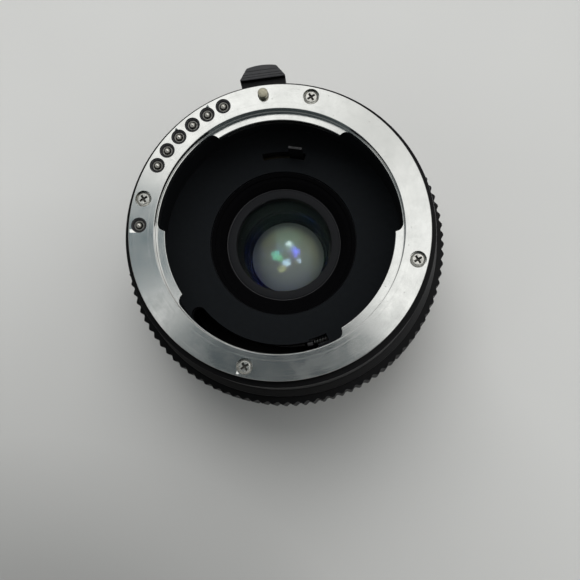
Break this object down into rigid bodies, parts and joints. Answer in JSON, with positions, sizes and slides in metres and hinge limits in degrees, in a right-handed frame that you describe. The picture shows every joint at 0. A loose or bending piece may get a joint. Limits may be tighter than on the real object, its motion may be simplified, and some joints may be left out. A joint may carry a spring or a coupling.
{
  "type": "camera teleconverter",
  "caption": "Short black barrel with a ridged grip, bright bayonet mounts at both ends, sprung contacts, a lens release and negative optics that enlarge the lens's image.",
  "frame": {"origin": "centre of the camera flange, where the optical axis meets the face that seats on the camera", "axes": "+Z along the optical axis towards the lens, +Y towards the lens release lever"},
  "size_m": [0.0658, 0.0682, 0.0446],
  "materials": {
    "mount_steel": "turned and brushed, lightly worn",
    "screw_steel": "machined cross-head screws",
    "set_screw_black": "blackened set screws",
    "spring_steel": "drawn wire and leaf",
    "insulator": "dark moulded insulator",
    "contact_nickel": "plated contact, domed tip",
    "contact_gold": "gold-plated flat contact",
    "board_green": "glass-fibre circuit board",
    "flex_amber": "polyimide flex strip",
    "barrel_black": "black satin anodised",
    "grip_black": "black anodised, ridged",
    "index_red": "moulded bead",
    "pin_steel": "polished, worn on top",
    "slider_steel": "stamped steel",
    "lever_black": "moulded black plastic",
    "baffle_black": "matt anti-reflection black",
    "frame_black": "matt black anodised",
    "retainer_black": "dark grey satin",
    "linkage_brass": "turned brass",
    "lever_steel": "stamped steel, bright",
    "washer_fibre": "fibre washer",
    "coated_glass": "polished, coated glass",
    "shroud_plastic": "moulded black plastic"
  },
  "bodies": {
    "housing": {"front_mount_ring": "mount_steel", "front_mount_screws": "screw_steel", "bayonet_leaf_springs": "spring_steel", "contact_bushes": "insulator", "contact_springs": "spring_steel", "contact_board": "board_green", "flex_strip": "flex_amber", "front_barrel": "barrel_black", "grip_ring": "grip_black", "rear_barrel": "barrel_black", "barrel_screws": "set_screw_black", "index_beads": "index_red", "lock_spring": "spring_steel", "chamber_wall": "baffle_black", "baffle_plate": "baffle_black", "inner_frame": "frame_black", "frame_screws": "screw_steel", "stop_down_spring": "spring_steel", "ring_spacer": "washer_fibre", "coupling_spring": "spring_steel", "ring_clip": "spring_steel", "lens_cell": "frame_black", "front_retainer": "retainer_black", "front_element": "coated_glass", "front_spacer": "frame_black", "crown_element": "coated_glass", "flint_element": "coated_glass", "middle_spacer": "frame_black", "negative_element": "coated_glass", "rear_spacer": "frame_black", "rear_element": "coated_glass", "rear_retainer": "retainer_black", "rear_mount_ring": "mount_steel", "rear_mount_screws": "screw_steel", "rear_contact_bushes": "insulator", "rear_contacts": "contact_gold", "rear_contact_board": "board_green", "rear_shroud": "shroud_plastic", "shroud_screws": "screw_steel"},
    "release": {"lock_pin": "pin_steel", "release_slider": "slider_steel", "release_lever": "lever_black", "lever_screw": "screw_steel"},
    "stop_down": {"stop_down_ring": "linkage_brass", "stop_down_lever": "lever_steel"},
    "coupling": {"coupling_ring": "linkage_brass", "coupling_lever": "lever_steel"},
    "contact_1": {"contact_pin_1": "contact_nickel"},
    "contact_2": {"contact_pin_2": "contact_nickel"},
    "contact_3": {"contact_pin_3": "contact_nickel"},
    "contact_4": {"contact_pin_4": "contact_nickel"},
    "contact_5": {"contact_pin_5": "contact_nickel"},
    "contact_6": {"contact_pin_6": "contact_nickel"},
    "contact_7": {"contact_pin_7": "contact_nickel"}
  },
  "joints": [
    {"name": "release_slide", "type": "slide", "parent": "housing", "child": "release", "axis": [0, 0, 1], "range_m": [-0.002, 0], "stiffness_N_per_m": 800, "springref_m": 0.0015, "deforming": ["lock_spring"]},
    {"name": "stop_down_turn", "type": "hinge", "parent": "housing", "child": "stop_down", "pos_m": [0, 0, 0], "axis": [0, 0, 1], "range_deg": [0, 16], "stiffness_Nm_per_rad": 0.006, "springref_deg": -22.92, "deforming": ["stop_down_spring"]},
    {"name": "coupling_turn", "type": "hinge", "parent": "housing", "child": "coupling", "pos_m": [0, 0, 0], "axis": [0, 0, 1], "range_deg": [-60, 0], "stiffness_Nm_per_rad": 0.003, "springref_deg": 45.84, "deforming": ["coupling_spring"]},
    {"name": "contact_1_press", "type": "slide", "parent": "housing", "child": "contact_1", "axis": [0, 0, 1], "range_m": [-0.0006, 0], "stiffness_N_per_m": 300, "springref_m": 0.001, "deforming": ["contact_springs"]},
    {"name": "contact_2_press", "type": "slide", "parent": "housing", "child": "contact_2", "axis": [0, 0, 1], "range_m": [-0.0006, 0], "stiffness_N_per_m": 300, "springref_m": 0.001, "deforming": ["contact_springs"]},
    {"name": "contact_3_press", "type": "slide", "parent": "housing", "child": "contact_3", "axis": [0, 0, 1], "range_m": [-0.0006, 0], "stiffness_N_per_m": 300, "springref_m": 0.001, "deforming": ["contact_springs"]},
    {"name": "contact_4_press", "type": "slide", "parent": "housing", "child": "contact_4", "axis": [0, 0, 1], "range_m": [-0.0006, 0], "stiffness_N_per_m": 300, "springref_m": 0.001, "deforming": ["contact_springs"]},
    {"name": "contact_5_press", "type": "slide", "parent": "housing", "child": "contact_5", "axis": [0, 0, 1], "range_m": [-0.0006, 0], "stiffness_N_per_m": 300, "springref_m": 0.001, "deforming": ["contact_springs"]},
    {"name": "contact_6_press", "type": "slide", "parent": "housing", "child": "contact_6", "axis": [0, 0, 1], "range_m": [-0.0006, 0], "stiffness_N_per_m": 300, "springref_m": 0.001, "deforming": ["contact_springs"]},
    {"name": "contact_7_press", "type": "slide", "parent": "housing", "child": "contact_7", "axis": [0, 0, 1], "range_m": [-0.0006, 0], "stiffness_N_per_m": 300, "springref_m": 0.001, "deforming": ["contact_springs"]}
  ]
}
